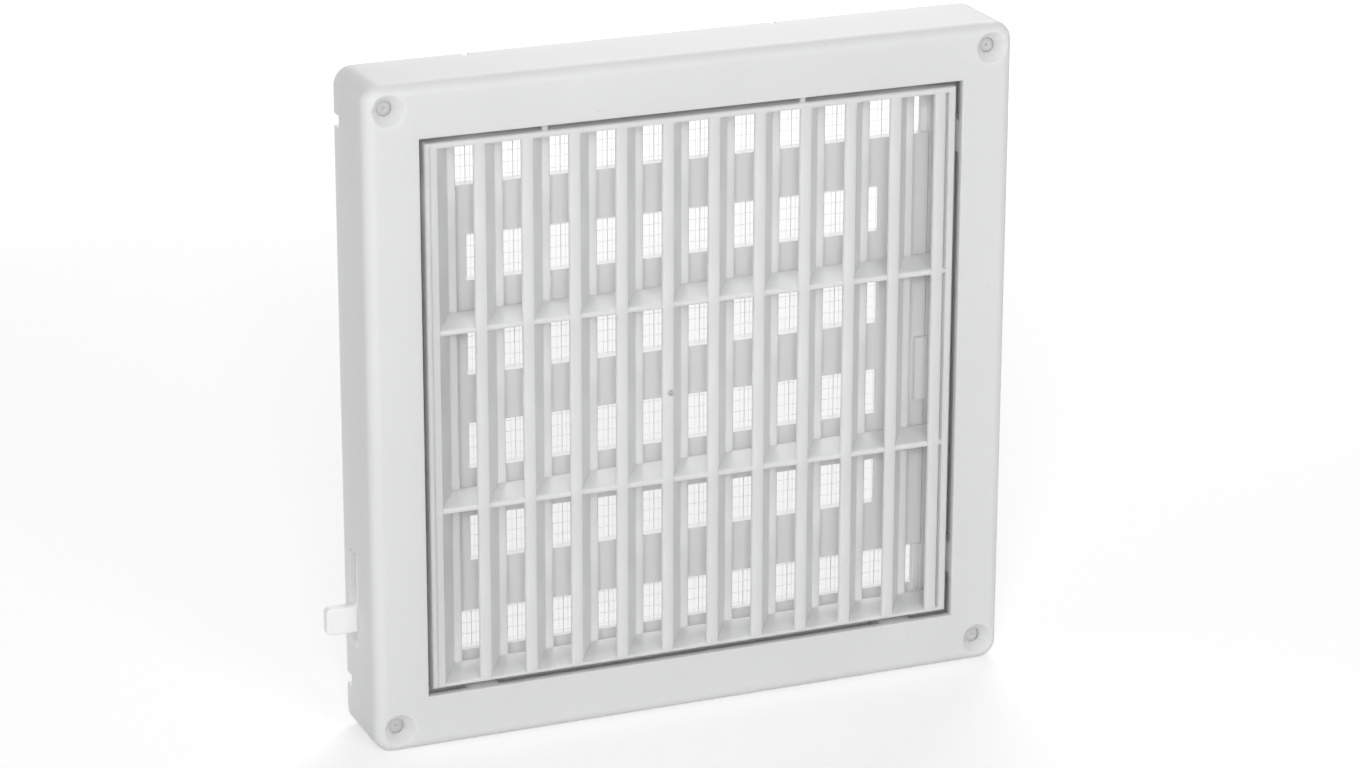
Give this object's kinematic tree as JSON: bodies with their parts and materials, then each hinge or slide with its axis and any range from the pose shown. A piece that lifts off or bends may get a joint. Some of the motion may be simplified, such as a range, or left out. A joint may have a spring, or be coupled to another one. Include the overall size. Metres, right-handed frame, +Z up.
{
  "type": "ventilation grille",
  "caption": "Square closable wall ventilation grille: flat screw-on casing, recessed vertical louvres, sliding slotted shutter with a side lever, and an insect net behind.",
  "frame": {"origin": "centre of the casing's back plane, midway between the four screw holes", "axes": "+X to the right seen from the front, +Z up, -Y out of the front face, +Y into the wall"},
  "size_m": [0.1904, 0.024, 0.182],
  "materials": {
    "casing_plastic": "semi-matt",
    "shutter_plastic": "semi-matt",
    "net_plastic": "matt"
  },
  "bodies": {
    "housing": {"front_casing": "casing_plastic", "louvre_insert": "casing_plastic", "slotted_back_plate": "casing_plastic", "insect_net": "net_plastic"},
    "shutter": {"shutter": "shutter_plastic"}
  },
  "joints": [
    {"name": "shutter_slide", "type": "slide", "parent": "housing", "child": "shutter", "axis": [0, 0, 1], "range_m": [0, 0.013]}
  ]
}
